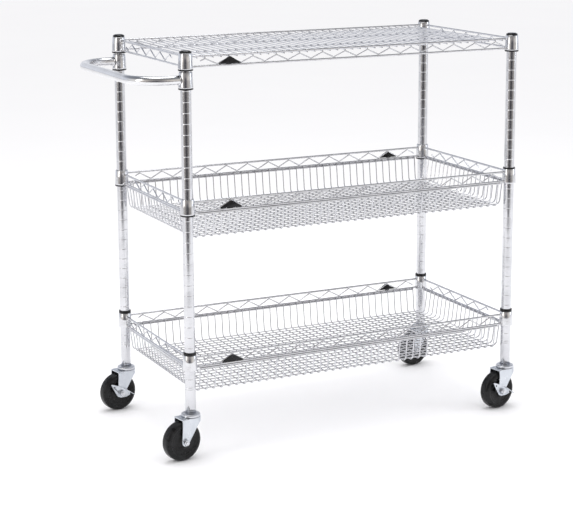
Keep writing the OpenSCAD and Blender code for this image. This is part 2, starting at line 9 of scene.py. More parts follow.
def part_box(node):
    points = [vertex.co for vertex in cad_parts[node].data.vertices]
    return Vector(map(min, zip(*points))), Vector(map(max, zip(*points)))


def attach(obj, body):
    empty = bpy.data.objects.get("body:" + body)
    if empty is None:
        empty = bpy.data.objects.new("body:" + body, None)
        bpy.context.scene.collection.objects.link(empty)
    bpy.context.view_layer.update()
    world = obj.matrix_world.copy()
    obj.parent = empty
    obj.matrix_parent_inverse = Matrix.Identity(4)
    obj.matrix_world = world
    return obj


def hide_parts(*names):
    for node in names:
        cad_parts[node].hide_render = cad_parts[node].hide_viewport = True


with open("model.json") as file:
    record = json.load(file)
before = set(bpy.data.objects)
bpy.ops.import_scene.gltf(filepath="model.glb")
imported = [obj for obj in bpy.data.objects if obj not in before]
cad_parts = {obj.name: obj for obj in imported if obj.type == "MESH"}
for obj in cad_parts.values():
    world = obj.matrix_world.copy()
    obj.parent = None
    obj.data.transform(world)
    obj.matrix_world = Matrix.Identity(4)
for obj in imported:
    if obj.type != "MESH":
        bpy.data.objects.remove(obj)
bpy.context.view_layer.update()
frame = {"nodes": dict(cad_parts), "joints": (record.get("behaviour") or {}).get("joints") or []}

# ---- Post tubes ----
# Four 1 in steel tubes, chrome plated after rolling. Shallow grooves run round each tube every inch, so
# that a shelf can be clipped on at any of them. Fine lines from polishing run along the plating.

MM = 0.001
POST_GROOVE_PITCH = 25.4 * MM
POST_GROOVE_START = 62 * MM
POST_GROOVE_WIDTH = 1.6 * MM
POST_GROOVE_DEPTH = 0.3 * MM
POST_GROOVE_LIP = 0.15 * MM
POST_GROOVE_FLAT = 0.6 * MM
POST_SECOND_GROOVE = 5 * MM
POST_LAST_GROOVE = 10 * MM
POST_END_CHAMFER = 0.4 * MM
POST_WALL = 1.2 * MM


def mask_group(name, inputs):
    """An empty shader group with the given inputs and a mask out."""
    group = bpy.data.node_groups.new(name, "ShaderNodeTree")
    for label, kind, value in inputs:
        socket = group.interface.new_socket(label, in_out="INPUT", socket_type=kind)
        if kind != "NodeSocketVector":
            socket.default_value = value
    group.interface.new_socket("Mask", in_out="OUTPUT", socket_type="NodeSocketFloat")
    return group


def math_node(nodes, operation, a=None, b=None, clamp=False):
    node = nodes.new("ShaderNodeMath")
    node.operation = operation
    node.use_clamp = clamp
    if a is not None:
        node.inputs[0].default_value = a
    if b is not None:
        node.inputs[1].default_value = b
    return node


def build_patch_mask():
    """Soft uneven patches, such as haze on plating or dust on plastic."""
    group = mask_group(
        "patch_mask",
        [
            ("Place", "NodeSocketVector", None),
            ("Size", "NodeSocketFloat", 30.0),
            ("Threshold", "NodeSocketFloat", 0.5),
            ("Softness", "NodeSocketFloat", 0.2),
        ],
    )
    nodes, links = group.nodes, group.links
    into = nodes.new("NodeGroupInput")
    out = nodes.new("NodeGroupOutput")
    noise = nodes.new("ShaderNodeTexNoise")
    noise.inputs["Detail"].default_value = 5.0
    noise.inputs["Roughness"].default_value = 0.62
    low = math_node(nodes, "SUBTRACT")
    high = math_node(nodes, "ADD")
    ramp = nodes.new("ShaderNodeMapRange")
    ramp.interpolation_type = "SMOOTHSTEP"
    links.new(into.outputs["Place"], noise.inputs["Vector"])
    links.new(into.outputs["Size"], noise.inputs["Scale"])
    links.new(into.outputs["Threshold"], low.inputs[0])
    links.new(into.outputs["Softness"], low.inputs[1])
    links.new(into.outputs["Threshold"], high.inputs[0])
    links.new(into.outputs["Softness"], high.inputs[1])
    links.new(noise.outputs[0], ramp.inputs["Value"])
    links.new(low.outputs[0], ramp.inputs["From Min"])
    links.new(high.outputs[0], ramp.inputs["From Max"])
    links.new(ramp.outputs["Result"], out.inputs["Mask"])
    return group


def build_drawn_lines():
    """Fine lines along one axis, as drawing and polishing leave them."""
    group = mask_group(
        "drawn_lines",
        [
            ("Place", "NodeSocketVector", None),
            ("Along", "NodeSocketVector", None),
            ("Fineness", "NodeSocketFloat", 900.0),
        ],
    )
    nodes, links = group.nodes, group.links
    into = nodes.new("NodeGroupInput")
    out = nodes.new("NodeGroupOutput")
    squeeze = nodes.new("ShaderNodeVectorMath")
    squeeze.operation = "MULTIPLY"
    noise = nodes.new("ShaderNodeTexNoise")
    noise.inputs["Detail"].default_value = 3.0
    links.new(into.outputs["Place"], squeeze.inputs[0])
    links.new(into.outputs["Along"], squeeze.inputs[1])
    links.new(squeeze.outputs[0], noise.inputs["Vector"])
    links.new(into.outputs["Fineness"], noise.inputs["Scale"])
    links.new(noise.outputs[0], out.inputs["Mask"])
    return group


patch_mask = build_patch_mask()
drawn_lines = build_drawn_lines()


def start_material(name):
    """A fresh node material: returns it with its nodes, links, shader and Object coordinates."""
    material = bpy.data.materials.new(name)
    material.use_nodes = True
    nodes, links = material.node_tree.nodes, material.node_tree.links
    nodes.clear()
    out = nodes.new("ShaderNodeOutputMaterial")
    shader = nodes.new("ShaderNodeBsdfPrincipled")
    links.new(shader.outputs[0], out.inputs["Surface"])
    place = nodes.new("ShaderNodeTexCoord").outputs["Object"]
    return material, nodes, links, shader, place


def use_group(nodes, links, group, place, **values):
    node = nodes.new("ShaderNodeGroup")
    node.node_tree = group
    links.new(place, node.inputs["Place"])
    for label, value in values.items():
        node.inputs[label].default_value = value
    return node.outputs["Mask"]


def blend_colours(nodes, links, mask, low, high):
    mix = nodes.new("ShaderNodeMix")
    mix.data_type = "RGBA"
    links.new(mask, mix.inputs["Factor"])
    mix.inputs["A"].default_value = (*low, 1.0)
    mix.inputs["B"].default_value = (*high, 1.0)
    return mix.outputs["Result"]


def blend_values(nodes, links, mask, low, high):
    spread = nodes.new("ShaderNodeMapRange")
    links.new(mask, spread.inputs["Value"])
    spread.inputs["To Min"].default_value = low
    spread.inputs["To Max"].default_value = high
    return spread.outputs["Result"]


def bump_from(nodes, links, shader, height, distance, strength=1.0):
    bump = nodes.new("ShaderNodeBump")
    bump.inputs["Distance"].default_value = distance
    bump.inputs["Strength"].default_value = strength
    links.new(height, bump.inputs["Height"])
    links.new(bump.outputs["Normal"], shader.inputs["Normal"])
    return bump


def plated_material(name, clean, hazed, rough_low, rough_high, along, fineness, line_depth, haze_size):
    """Bright plating with drawn lines in its roughness and relief, and faint hazy patches."""
    material, nodes, links, shader, place = start_material(name)
    shader.inputs["Metallic"].default_value = 1.0
    haze = use_group(nodes, links, patch_mask, place, Size=haze_size, Threshold=0.53, Softness=0.16)
    lines = use_group(nodes, links, drawn_lines, place, Along=along, Fineness=fineness)
    links.new(blend_colours(nodes, links, haze, clean, hazed), shader.inputs["Base Color"])
    both = nodes.new("ShaderNodeMath")
    both.operation = "MULTIPLY_ADD"
    links.new(lines, both.inputs[0])
    both.inputs[1].default_value = 0.55
    links.new(haze, both.inputs[2])
    links.new(blend_values(nodes, links, both.outputs[0], rough_low, rough_high), shader.inputs["Roughness"])
    bump_from(nodes, links, shader, lines, line_depth)
    return material


def solid_of_revolution(outline, steps, centre):
    """A closed mesh turned from (radius, height) points; points on the axis close it there."""
    bm = bmesh.new()
    rings = []
    for radius, height in outline:
        if radius < 1e-7:
            rings.append([bm.verts.new((centre[0], centre[1], height))])
            continue
        ring = []
        for k in range(steps):
            a = 2 * math.pi * k / steps
            x, y = centre[0] + radius * math.cos(a), centre[1] + radius * math.sin(a)
            ring.append(bm.verts.new((x, y, height)))
        rings.append(ring)
    closed = len(rings[0]) > 1 or len(rings[-1]) > 1
    pairs = list(zip(rings, rings[1:]))
    if closed:
        pairs.append((rings[-1], rings[0]))
    for lower, upper in pairs:
        if len(lower) == 1 and len(upper) == 1:
            continue
        for k in range(steps):
            n = (k + 1) % steps
            if len(lower) == 1:
                bm.faces.new((lower[0], upper[n], upper[k]))
            elif len(upper) == 1:
                bm.faces.new((lower[k], lower[n], upper[0]))
            else:
                bm.faces.new((lower[k], lower[n], upper[n], upper[k]))
    bmesh.ops.recalc_face_normals(bm, faces=bm.faces)
    mesh = bpy.data.meshes.new("turned")
    bm.to_mesh(mesh)
    bm.free()
    return mesh


def as_piece(name, meshes, material, sharp=35, turn=None):
    """Joins meshes into one object at the origin, smooth but for edges sharper than the angle."""
    bm = bmesh.new()
    for mesh in meshes:
        bm.from_mesh(mesh)
    if turn is not None:
        bmesh.ops.transform(bm, matrix=turn, verts=bm.verts)
    joined = bpy.data.meshes.new(name)
    bm.to_mesh(joined)
    bm.free()
    joined.materials.clear()
    joined.materials.append(material)
    for polygon in joined.polygons:
        polygon.material_index = 0
    joined.shade_smooth()
    joined.set_sharp_from_angle(angle=math.radians(sharp))
    obj = bpy.data.objects.new(name, joined)
    bpy.context.scene.collection.objects.link(obj)
    return obj


def box_centre(node):
    low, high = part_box(node)
    return tuple((a + b) / 2 for a, b in zip(low, high))


corner_names = ("front_left", "front_right", "back_left", "back_right")
post_at = {c: box_centre("post_" + c)[:2] for c in corner_names}
post_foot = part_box("post_front_left")[0][2]
post_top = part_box("post_front_left")[1][2]
post_radius = (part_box("post_front_left")[1][0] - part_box("post_front_left")[0][0]) / 2

post_chrome = plated_material(
    "chrome_post", (0.70, 0.705, 0.73), (0.61, 0.615, 0.64), 0.07, 0.18,
    (1.0, 1.0, 0.02), 1400.0, 0.000004, 22.0,
)


def grooved_outline():
    """Outer wall with its rolled grooves, then back down the bore."""
    heights = [POST_GROOVE_START, POST_GROOVE_START + POST_SECOND_GROOVE]
    z = POST_GROOVE_START + POST_GROOVE_PITCH
    while z < post_top - post_foot - POST_LAST_GROOVE:
        heights.append(z)
        z += POST_GROOVE_PITCH
    inner = post_radius - POST_END_CHAMFER
    points = [(inner, post_foot), (post_radius, post_foot + POST_END_CHAMFER)]
    for h in heights:
        at = post_foot + h
        half = POST_GROOVE_WIDTH / 2
        points += [
            (post_radius, at - half - POST_GROOVE_FLAT),
            (post_radius, at - half - POST_GROOVE_LIP),
            (post_radius - 0.12 * POST_GROOVE_DEPTH, at - half),
            (post_radius - 0.75 * POST_GROOVE_DEPTH, at - half * 0.5),
            (post_radius - POST_GROOVE_DEPTH, at),
            (post_radius - 0.75 * POST_GROOVE_DEPTH, at + half * 0.5),
            (post_radius - 0.12 * POST_GROOVE_DEPTH, at + half),
            (post_radius, at + half + POST_GROOVE_LIP),
            (post_radius, at + half + POST_GROOVE_FLAT),
        ]
    bore = post_radius - POST_WALL
    points += [(post_radius, post_top - POST_END_CHAMFER), (inner, post_top)]
    points += [(bore, post_top), (bore, post_foot)]
    return points


for corner in corner_names:
    post = as_piece(
        "grooved_post_" + corner,
        [solid_of_revolution(grooved_outline(), 40, post_at[corner])],
        post_chrome,
        sharp=60,
    )
    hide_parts("post_" + corner)
    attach(post, "frame")

# ---- Caps ----
# Black moulded caps pushed into the top of each tube. Each has a low domed top with a chamfered rim and
# a plain plug below it, and a faint moulding texture on its gloss.

CAP_RADIUS = 14.5 * MM
CAP_HEIGHT = 6 * MM
CAP_PLUG_DEPTH = 14 * MM
CAP_PLUG_GAP = 0.1 * MM
CAP_PLUG_TAPER = 1 * MM
CAP_SEAT_GAP = 0.01 * MM
CAP_SIDES = 36
CAP_DOME = ((0.3, 0.01), (0.0, 0.3), (0.0, 2.2), (0.3, 2.9), (1.3, 3.7), (4.2, 5.1), (5.2, 5.45), (8.0, 5.8))


def moulded_black(name, colour, dusty, rough_low, rough_high, grain_depth):
    """Black moulded plastic: fine grain, slightly uneven gloss and a trace of dust."""
    material, nodes, links, shader, place = start_material(name)
    dust = use_group(nodes, links, patch_mask, place, Size=55.0, Threshold=0.6, Softness=0.13)
    grain = use_group(nodes, links, drawn_lines, place, Along=(1.0, 1.0, 1.0), Fineness=2600.0)
    links.new(blend_colours(nodes, links, dust, colour, dusty), shader.inputs["Base Color"])
    links.new(blend_values(nodes, links, dust, rough_low, rough_high), shader.inputs["Roughness"])
    shader.inputs["IOR"].default_value = 1.5
    shader.inputs["Specular IOR Level"].default_value = 0.3
    bump_from(nodes, links, shader, grain, grain_depth)
    return material


black_plastic = moulded_black(
    "black_moulding", (0.006, 0.006, 0.007), (0.02, 0.02, 0.022), 0.18, 0.34, 0.00002
)


def cap_outline():
    """(radius, height) from the tapered tip of the plug, out under the rim and over the dome."""
    plug = post_radius - POST_WALL - CAP_PLUG_GAP
    plug_foot = post_top - CAP_PLUG_DEPTH
    seat = post_top + CAP_SEAT_GAP
    points = [(0.0, plug_foot), (plug - CAP_PLUG_TAPER, plug_foot)]
    points += [(plug, plug_foot + 2 * CAP_PLUG_TAPER), (plug, seat)]
    # Each pair is how far in from the rim and how high above the tube, in millimetres
    for inward, up in CAP_DOME:
        points.append((CAP_RADIUS - inward * MM, post_top + up * MM))
    return points + [(0.0, post_top + CAP_HEIGHT)]


cap_meshes = [solid_of_revolution(cap_outline(), CAP_SIDES, post_at[corner]) for corner in corner_names]
caps = as_piece("moulded_post_caps", cap_meshes, black_plastic, sharp=50)
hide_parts("post_caps")
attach(caps, "frame")

# ---- Split sleeves ----
# Two black plastic half shells snap round the tube at a groove, and the shelf's collar wedges down over them.
# Only their rims show: under most collars, above the bottom ones, and above one middle collar.

SLEEVE_GAP = 0.1 * MM
COLLAR_WALL = 1.4 * MM
collar_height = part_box("top_collars")[1][2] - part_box("top_collars")[0][2]
collar_foot_radius = (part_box("top_collars")[1][0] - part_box("top_collars")[0][0]) / 2 - (
    post_at["front_right"][0] - post_at["front_left"][0]
) / 2
collar_top_radius = collar_foot_radius - 1.8 * MM
tier_at = {t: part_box(t + "_collars")[0][2] for t in ("top", "middle", "bottom", "handle")}


def collar_radius(up):
    return collar_foot_radius + (collar_top_radius - collar_foot_radius) * up / collar_height


def half_shell(outline, centre, side, steps=18, slot=0.3 * MM):
    """Half of a turned ring, cut flat at the split between the two halves."""
    bm = bmesh.new()
    rings = []
    for radius, height in outline:
        a0 = math.asin(slot / radius)
        ring = []
        for k in range(steps + 1):
            a = a0 + (math.pi - 2 * a0) * k / steps
            x, y = centre[0] + radius * math.cos(a), centre[1] + side * radius * math.sin(a)
            ring.append(bm.verts.new((x, y, height)))
        rings.append(ring)
    for lower, upper in zip(rings, rings[1:] + rings[:1]):
        for k in range(steps):
            bm.faces.new((lower[k], lower[k + 1], upper[k + 1], upper[k]))
    for end in (0, steps):
        bm.faces.new([ring[end] for ring in rings])
    bmesh.ops.recalc_face_normals(bm, faces=bm.faces)
    mesh = bpy.data.meshes.new("half_shell")
    bm.to_mesh(mesh)
    bm.free()
    return mesh


def sleeve_meshes(corner, base, below, above):
    bore = post_radius + SLEEVE_GAP
    foot = collar_radius(0)
    top = collar_radius(collar_height)
    outline = [(bore, base - below)]
    if below:
        outline += [
            (foot - 0.3 * MM, base - below),
            (foot, base - below + 0.4 * MM),
            (foot + 0.15 * MM, base - 0.5 * MM),
            (foot - 0.2 * MM, base - 0.08 * MM),
        ]
    outline.append((foot - COLLAR_WALL - SLEEVE_GAP, base - 0.05 * MM if below else base))
    outline.append((top - COLLAR_WALL - SLEEVE_GAP, base + collar_height))
    if above:
        outline += [
            (top - COLLAR_WALL - SLEEVE_GAP, base + collar_height + 0.05 * MM),
            (top - 0.3 * MM, base + collar_height + 0.05 * MM),
            (top, base + collar_height + 0.5 * MM),
            (top - 0.2 * MM, base + collar_height + above - 0.9 * MM),
            (top - 1.0 * MM, base + collar_height + above),
        ]
    outline.append((bore, base + collar_height + above))
    return [half_shell(outline, post_at[corner], side) for side in (-1, 1)]


sleeves = []
for corner in corner_names:
    sleeves += sleeve_meshes(corner, tier_at["bottom"], 0, 7 * MM)
    if corner == "front_right":
        sleeves += sleeve_meshes(corner, tier_at["middle"], 0, 3.5 * MM)
    else:
        sleeves += sleeve_meshes(corner, tier_at["middle"], 3.5 * MM, 0)
    sleeves += sleeve_meshes(corner, tier_at["top"], 3.5 * MM, 0)
    if corner.endswith("left"):
        sleeves += sleeve_meshes(corner, tier_at["handle"], 3.5 * MM, 0)
split_sleeves = as_piece("split_sleeve_halves", sleeves, black_plastic, sharp=40)
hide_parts("split_sleeves")
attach(split_sleeves, "frame")

# ---- Collars ----
# Pressed steel rings, a little wider at the foot, that wedge over the sleeves. Each is chromed together with
# the wires that are welded to it, so its plating is bright but slightly uneven.

collar_chrome = plated_material(
    "chrome_collar", (0.72, 0.725, 0.745), (0.63, 0.635, 0.655), 0.06, 0.2,
    (1.0, 1.0, 0.3), 700.0, 0.00002, 40.0,
)


def collar_mesh(corner, base):
    outline = [
        (collar_radius(0) - 0.4 * MM, base),
        (collar_radius(0), base + 0.45 * MM),
        (collar_radius(3 * MM), base + 3 * MM),
        (collar_radius(collar_height / 2), base + collar_height / 2),
        (collar_radius(collar_height), base + collar_height - 0.6 * MM),
        (collar_radius(collar_height) - 0.55 * MM, base + collar_height),
        (collar_radius(collar_height) - COLLAR_WALL, base + collar_height),
        (collar_radius(0) - COLLAR_WALL, base),
    ]
    return solid_of_revolution(outline, 44, post_at[corner])


for tier in ("top", "middle", "bottom"):
    ring = as_piece(
        tier + "_corner_rings",
        [collar_mesh(corner, tier_at[tier]) for corner in corner_names],
        collar_chrome,
        sharp=50,
    )
    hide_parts(tier + "_collars")
    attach(ring, "frame")

# ---- Rim wires ----
# Two heavy drawn wires run along each side of every tier, one above the other, butt welded to the collars
# and chromed. A small fillet of weld metal rings each end.

half_x = (post_at["front_right"][0] - post_at["front_left"][0]) / 2
half_y = (post_at["back_left"][1] - post_at["front_left"][1]) / 2
mid_x = post_at["front_left"][0] + half_x
mid_y = post_at["front_left"][1] + half_y
WELD_GAP = 0.05 * MM
RIM_WIRE = 5 * MM
RIM_LOW = 4.5 * MM
RIM_HIGH = RIM_LOW + 24 * MM
COLLAR_BITE = 0.2 * MM
WELD_SET = 0.3 * MM
WELD_LAP = 0.1 * MM
WELD_SPREAD = 1.3 * MM
WELD_LENGTH = 1.6 * MM

wire_chrome = plated_material(
    "chrome_wire", (0.68, 0.685, 0.71), (0.58, 0.585, 0.61), 0.12, 0.26,
    (0.35, 0.35, 1.0), 600.0, 0.00001, 60.0,
)


def build_wire_tree():
    """A bent wire drawn along the given corner points, then copied at an even pitch."""
    tree = bpy.data.node_groups.new("bent_wire_row", "GeometryNodeTree")
    face = tree.interface
    face.new_socket("Corner Points", in_out="INPUT", socket_type="NodeSocketGeometry")
    for label, kind in (
        ("Wire Diameter", "NodeSocketFloat"),
        ("Bend Radius", "NodeSocketFloat"),
        ("Bend Steps", "NodeSocketInt"),
        ("Sides", "NodeSocketInt"),
        ("Count", "NodeSocketInt"),
        ("Pitch", "NodeSocketVector"),
        ("Finish", "NodeSocketMaterial"),
    ):
        face.new_socket(label, in_out="INPUT", socket_type=kind)
    face.new_socket("Wires", in_out="OUTPUT", socket_type="NodeSocketGeometry")
    nodes, links = tree.nodes, tree.links
    into = nodes.new("NodeGroupInput")
    out = nodes.new("NodeGroupOutput")
    path = nodes.new("GeometryNodeMeshToCurve")
    bends = nodes.new("GeometryNodeFilletCurve")
    bends.mode = "POLY"
    half = nodes.new("ShaderNodeMath")
    half.operation = "MULTIPLY"
    half.inputs[1].default_value = 0.5
    section = nodes.new("GeometryNodeCurvePrimitiveCircle")
    sweep = nodes.new("GeometryNodeCurveToMesh")
    sweep.inputs["Fill Caps"].default_value = True
    places = nodes.new("GeometryNodeMeshLine")
    copies = nodes.new("GeometryNodeInstanceOnPoints")
    real = nodes.new("GeometryNodeRealizeInstances")
    finish = nodes.new("GeometryNodeSetMaterial")
    links.new(into.outputs["Corner Points"], path.inputs["Mesh"])
    links.new(path.outputs["Curve"], bends.inputs["Curve"])
    links.new(into.outputs["Bend Radius"], bends.inputs["Radius"])
    links.new(into.outputs["Bend Steps"], bends.inputs["Count"])
    bends.inputs["Limit Radius"].default_value = True
    links.new(into.outputs["Wire Diameter"], half.inputs[0])
    links.new(half.outputs[0], section.inputs["Radius"])
    links.new(into.outputs["Sides"], section.inputs["Resolution"])
    links.new(bends.outputs["Curve"], sweep.inputs["Curve"])
    links.new(section.outputs["Curve"], sweep.inputs["Profile Curve"])
    links.new(into.outputs["Count"], places.inputs["Count"])
    links.new(into.outputs["Pitch"], places.inputs["Offset"])
    links.new(places.outputs["Mesh"], copies.inputs["Points"])
    links.new(sweep.outputs["Mesh"], copies.inputs["Instance"])
    links.new(copies.outputs["Instances"], real.inputs["Geometry"])
    links.new(real.outputs["Geometry"], finish.inputs["Geometry"])
    links.new(into.outputs["Finish"], finish.inputs["Material"])
    links.new(finish.outputs["Geometry"], out.inputs["Wires"])
    return tree


wire_tree = build_wire_tree()


def tree_result(tree, source, values):
    """Runs a geometry tree on a mesh and returns its result as a plain mesh."""
    carrier = bpy.data.objects.new("carrier", source)
    bpy.context.scene.collection.objects.link(carrier)
    modifier = carrier.modifiers.new("tree", "NODES")
    modifier.node_group = tree
    for item in tree.interface.items_tree:
        if item.item_type == "SOCKET" and item.in_out == "INPUT" and item.name in values:
            modifier[item.identifier] = values[item.name]
    graph = bpy.context.evaluated_depsgraph_get()
    mesh = bpy.data.meshes.new_from_object(carrier.evaluated_get(graph), depsgraph=graph)
    carrier.modifiers.remove(modifier)
    bpy.data.objects.remove(carrier)
    return mesh


def wires(points, diameter, material, bend=0.0, count=1, pitch=(0.0, 0.0, 0.0), sides=10, steps=6):
    """Wires through the given corner points, at a pitch, as one mesh."""
    path = bpy.data.meshes.new("path")
    path.from_pydata([Vector(p) for p in points], [(k, k + 1) for k in range(len(points) - 1)], [])
    return tree_result(
        wire_tree,
        path,
        {
            "Wire Diameter": diameter,
            "Bend Radius": max(bend, 1e-6),
            "Bend Steps": steps,
            "Sides": sides,
            "Count": count,
            "Pitch": pitch,
            "Finish": material,
        },
    )


def weld_ring(at, direction, inner, outer, width, sides=18):
    """A fillet of weld metal round a wire where it meets a wall; direction points along the wire."""
    profile = [(inner, 0.0), (outer, 0.0), (outer - 0.45 * (outer - inner), 0.35 * width), (inner, width)]
    bm = bmesh.new()
    rings = []
    for radius, along in profile:
        turns = [2 * math.pi * k / sides for k in range(sides)]
        rings.append([bm.verts.new((radius * math.cos(a), radius * math.sin(a), along)) for a in turns])
    for lower, upper in zip(rings, rings[1:] + rings[:1]):
        for k in range(sides):
            n = (k + 1) % sides
            bm.faces.new((lower[k], lower[n], upper[n], upper[k]))
    bmesh.ops.recalc_face_normals(bm, faces=bm.faces)
    turn = Vector((0, 0, 1)).rotation_difference(Vector(direction)).to_matrix().to_4x4()
    bmesh.ops.transform(bm, matrix=Matrix.Translation(Vector(at)) @ turn, verts=bm.verts)
    mesh = bpy.data.meshes.new("weld")
    bm.to_mesh(mesh)
    bm.free()
    return mesh


def rim_with_welds(a, b):
    """A rim wire from one collar to the next, with a weld at each end."""
    a, b = Vector(a), Vector(b)
    along = (b - a).normalized()
    parts = [wires([a, b], RIM_WIRE, wire_chrome, sides=14)]
    for end, into in ((a, along), (b, -along)):
        parts.append(
            weld_ring(
                end + into * WELD_SET, into, RIM_WIRE / 2 - WELD_LAP, RIM_WIRE / 2 + WELD_SPREAD, WELD_LENGTH
            )
        )
    return parts


for tier in ("top", "middle", "bottom"):
    parts = []
    for up in (RIM_LOW, RIM_HIGH):
        z = tier_at[tier] + up
        inset = collar_radius(up) - COLLAR_BITE
        for side in (-1, 1):
            y = mid_y + side * half_y
            x = mid_x + side * half_x
            parts += rim_with_welds((mid_x - half_x + inset, y, z), (mid_x + half_x - inset, y, z))
            parts += rim_with_welds((x, mid_y - half_y + inset, z), (x, mid_y + half_y - inset, z))
    rim = as_piece(tier + "_rim_rods", parts, wire_chrome)
    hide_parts(tier + "_rim_wires")
    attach(rim, "frame")

# ---- Truss wires ----
# A thinner wire bent in a zigzag stands between the two rim wires of each side and is spot welded to them at
# every peak and valley. On the top tier the long sides' peaks stop lower, under the mat wires.

TRUSS_WIRE = 3.2 * MM
TRUSS_PITCH = 60.9 * MM
TRUSS_BEND = 3 * MM
TRUSS_STUB = 12 * MM
LONG_TRUSS_STUB = 21.6 * MM
LONG_PEAKS = 14
SHORT_PEAKS = 5
FLOOR_WIRE = 3 * MM
truss_low = RIM_WIRE / 2 + TRUSS_WIRE / 2 + WELD_GAP
truss_high = RIM_HIGH - RIM_LOW - truss_low


def zigzag_points(peaks, stub_a, stub_b, peak):
    """(along, up) corner points, centred on the row of peaks."""
    slope = math.atan((truss_high - truss_low) / (TRUSS_PITCH / 2))
    over = TRUSS_BEND * (1 / math.cos(slope) - 1)
    low, high = truss_low - over, peak + over
    drop = (high - low) / (TRUSS_PITCH / 2)
    start = -(peaks - 1) / 2 * TRUSS_PITCH
    end = -start
    points = [(start - stub_a, high - drop * stub_a), (start, high)]
    for i in range(1, peaks):
        points += [(start + (i - 0.5) * TRUSS_PITCH, low), (start + i * TRUSS_PITCH, high)]
    if stub_b < TRUSS_PITCH / 2:
        points.append((end + stub_b, high - drop * stub_b))
    else:
        points.append((end + TRUSS_PITCH / 2, low))
        points.append((end + stub_b, low + drop * (stub_b - TRUSS_PITCH / 2)))
    return points


for tier in ("top", "middle", "bottom"):
    base = tier_at[tier] + RIM_LOW
    long_peak = truss_high - FLOOR_WIRE - WELD_GAP if tier == "top" else truss_high
    parts = []
    for side in (-1, 1):
        y = mid_y + side * half_y
        x = mid_x + side * half_x
        long_row = zigzag_points(LONG_PEAKS, TRUSS_STUB, LONG_TRUSS_STUB, long_peak)
        short_row = zigzag_points(SHORT_PEAKS, TRUSS_STUB, TRUSS_PITCH / 2 + TRUSS_STUB, truss_high)
        for path in (
            [(mid_x + a, y, base + u) for a, u in long_row],
            [(x, mid_y + a, base + u) for a, u in short_row],
        ):
            parts.append(wires(path, TRUSS_WIRE, wire_chrome, bend=TRUSS_BEND, steps=4))
    truss = as_piece(tier + "_zigzag_wires", parts, wire_chrome)
    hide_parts(tier + "_truss_wires")
    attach(truss, "frame")

# ---- Top mat ----
# The top shelf is a flat mat of drawn wires laid front to back under the upper rim wires, with two heavier
# wires welded lengthwise beneath it. Cut ends show just past the rims.

WIRE_PITCH = 20.3 * MM
CROSS_COUNT = 42
LONG_COUNT = 20
SUPPORT_WIRE = 4 * MM
mat_low, mat_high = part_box("top_mat_wires")
cross_start = mid_x - (CROSS_COUNT - 1) / 2 * WIRE_PITCH
long_start = mid_y - (LONG_COUNT - 1) / 2 * WIRE_PITCH
mat_z = (mat_low[2] + mat_high[2]) / 2
mat = as_piece(
    "top_mat_rods",
    [
        wires(
            [(cross_start, mat_low[1], mat_z), (cross_start, mat_high[1], mat_z)],
            FLOOR_WIRE, wire_chrome, count=CROSS_COUNT, pitch=(WIRE_PITCH, 0, 0),
        )
    ],
    wire_chrome,
)
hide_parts("top_mat_wires")
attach(mat, "frame")

support_low, support_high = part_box("top_support_wires")
support_y = support_low[1] + SUPPORT_WIRE / 2
support_z = (support_low[2] + support_high[2]) / 2
supports = as_piece(
    "top_support_rods",
    [
        wires(
            [(support_low[0], support_y, support_z), (support_high[0], support_y, support_z)],
            SUPPORT_WIRE, wire_chrome, count=2, sides=12,
            pitch=(0, support_high[1] - support_low[1] - SUPPORT_WIRE, 0),
        )
    ],
    wire_chrome,
)
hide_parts("top_support_wires")
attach(supports, "frame")

# ---- Baskets ----
# Each basket is woven from U-bent wires: one layer front to back, and one layer end to end resting on it.
# Their upturned ends lean out to the rims, where a second rim wire runs close under the lower one.

BASKET_RIM_WIRE = 4.5 * MM
WALL_TOP = RIM_LOW + 1 * MM
WALL_INSET = RIM_WIRE / 2 + FLOOR_WIRE / 2 + WELD_GAP
WALL_LEAN = 8 * MM
WALL_BEND = 12 * MM

